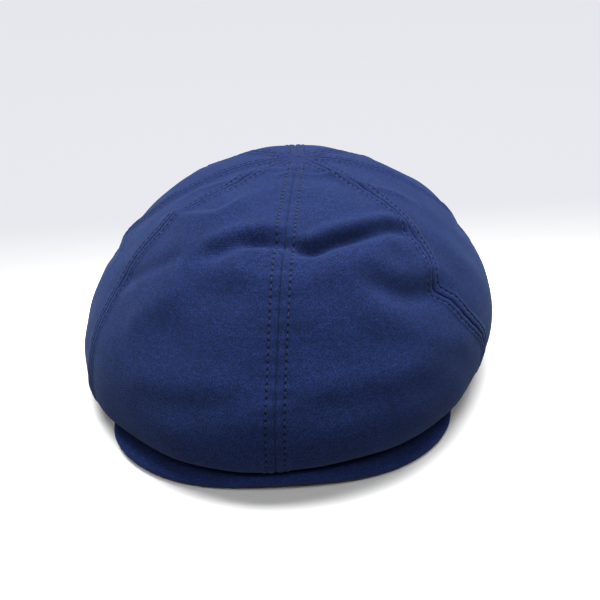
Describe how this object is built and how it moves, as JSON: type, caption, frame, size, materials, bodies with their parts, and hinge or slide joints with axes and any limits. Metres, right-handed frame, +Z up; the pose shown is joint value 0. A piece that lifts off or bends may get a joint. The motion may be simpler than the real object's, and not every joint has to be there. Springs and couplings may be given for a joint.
{
  "type": "newsboy cap",
  "caption": "Soft newsboy cap with a gored crown, a stiffened headband, a satin lining and a short rounded visor that snaps up under the crown's front.",
  "frame": {"origin": "middle of the cap's footprint, on the plane that the headband's lower rim stands on", "axes": "+Z up through the crown, the visor points along -Y, +X is the wearer's left"},
  "size_m": [0.256, 0.2761, 0.1189],
  "materials": {
    "twill": "brushed cotton twill",
    "thread": "polyester topstitching thread",
    "lining": "satin lining",
    "sweatband": "cotton grosgrain",
    "elastic": "ribbed elastic",
    "label": "plain woven label",
    "buckram": "stiff woven interlining",
    "visor_board": "moulded polyethylene sheet",
    "snap_metal": "antiqued brass"
  },
  "bodies": {
    "crown": {"front_panel_left": "twill", "front_panel_right": "twill", "front_side_panel_left": "twill", "front_side_panel_right": "twill", "back_side_panel_left": "twill", "back_side_panel_right": "twill", "back_panel_left": "twill", "back_panel_right": "twill", "headband": "twill", "band_stiffener": "buckram", "sweatband": "sweatband", "back_elastic": "elastic", "size_label": "label", "lining_tip": "lining", "lining_left": "lining", "lining_right": "lining", "snap_socket": "snap_metal", "snap_socket_cap": "snap_metal"},
    "visor": {"visor_board": "visor_board", "visor_top_cover": "twill", "visor_under_cover": "twill", "snap_stud": "snap_metal", "snap_stud_plate": "snap_metal"}
  },
  "joints": [
    {"name": "visor_hinge", "type": "hinge", "parent": "crown", "child": "visor", "pos_m": [0, -0.072, 0.008], "axis": [1, 0, 0], "range_deg": [0, 4.5]}
  ]
}
